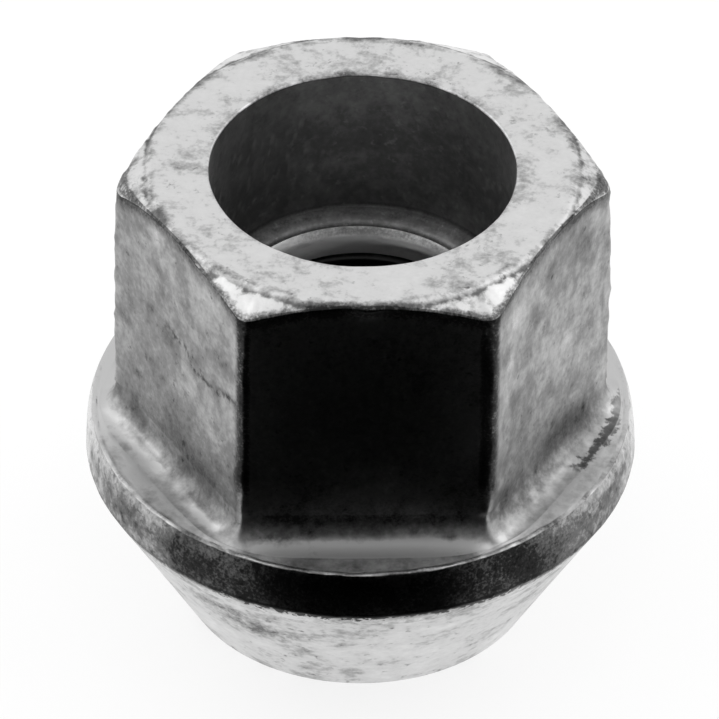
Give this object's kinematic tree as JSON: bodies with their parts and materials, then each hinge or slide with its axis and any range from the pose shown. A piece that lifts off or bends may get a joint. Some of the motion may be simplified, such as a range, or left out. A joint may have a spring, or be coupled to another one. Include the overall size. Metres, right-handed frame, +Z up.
{
  "type": "lug nut",
  "caption": "Open-ended wheel lug nut: a hexagon on a round collar with a conical seat below, threaded through, with a wide recess in the open end.",
  "frame": {"origin": "on the nut's axis, in the plane of the foot that the nut stands on", "axes": "+Z up along the axis towards the open end, -Y towards the camera through one flat of the hexagon, +X to the right through a corner"},
  "size_m": [0.0244, 0.0244, 0.023],
  "materials": {
    "zinc_plated_steel": "bright zinc plating over the scale and die marks of a forging, handled and scuffed"
  },
  "bodies": {
    "root": {"lug_nut": "zinc_plated_steel"}
  },
  "joints": []
}
